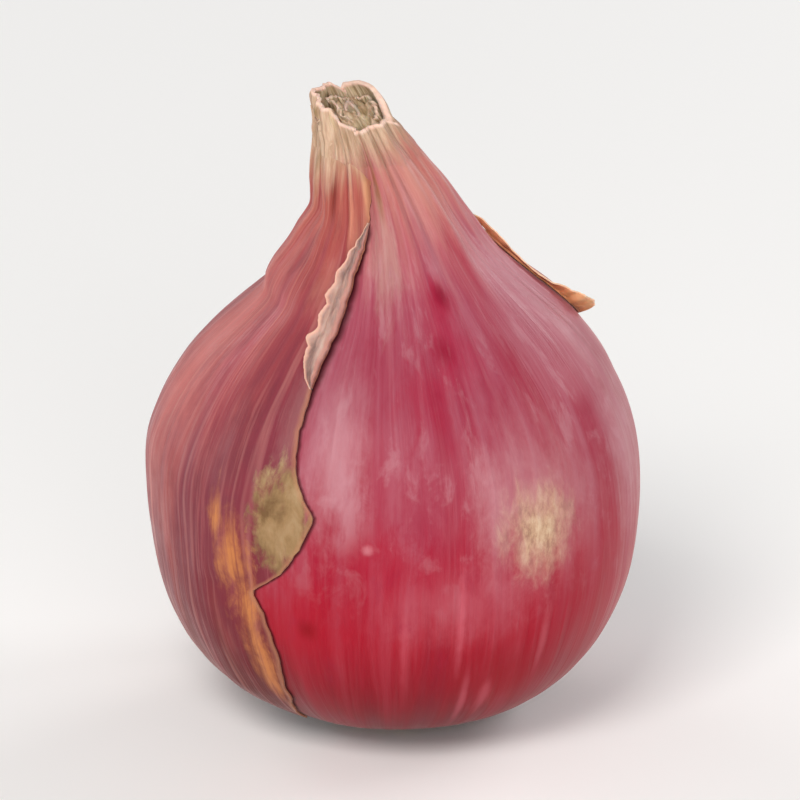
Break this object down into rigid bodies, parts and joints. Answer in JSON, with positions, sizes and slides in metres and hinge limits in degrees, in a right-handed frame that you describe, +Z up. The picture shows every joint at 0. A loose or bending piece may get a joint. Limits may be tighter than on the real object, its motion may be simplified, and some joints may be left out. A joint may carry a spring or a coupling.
{
  "type": "pink shallot",
  "caption": "Whole pink shallot that stands on its root end: round belly, pleated leaning neck, dried crown, and a split dry outer skin round its left side and back.",
  "frame": {"origin": "centre of the root plate's flat face, on which the shallot stands", "axes": "+Z up along the bulb from root to crown, -Y towards the front with the split in the skin, +X to the right"},
  "size_m": [0.0358, 0.0358, 0.0468],
  "materials": {
    "bulb_skin": "thin satin onion skin, mauve pink above and crimson below, with fine lengthwise fibres; straw-coloured crown and root plate",
    "dry_skin": "dry papery onion skin, brownish mauve to salmon, with tan patches and a pale curled edge"
  },
  "bodies": {
    "root": {"bulb": "bulb_skin", "outer_skin": "dry_skin"}
  },
  "joints": []
}
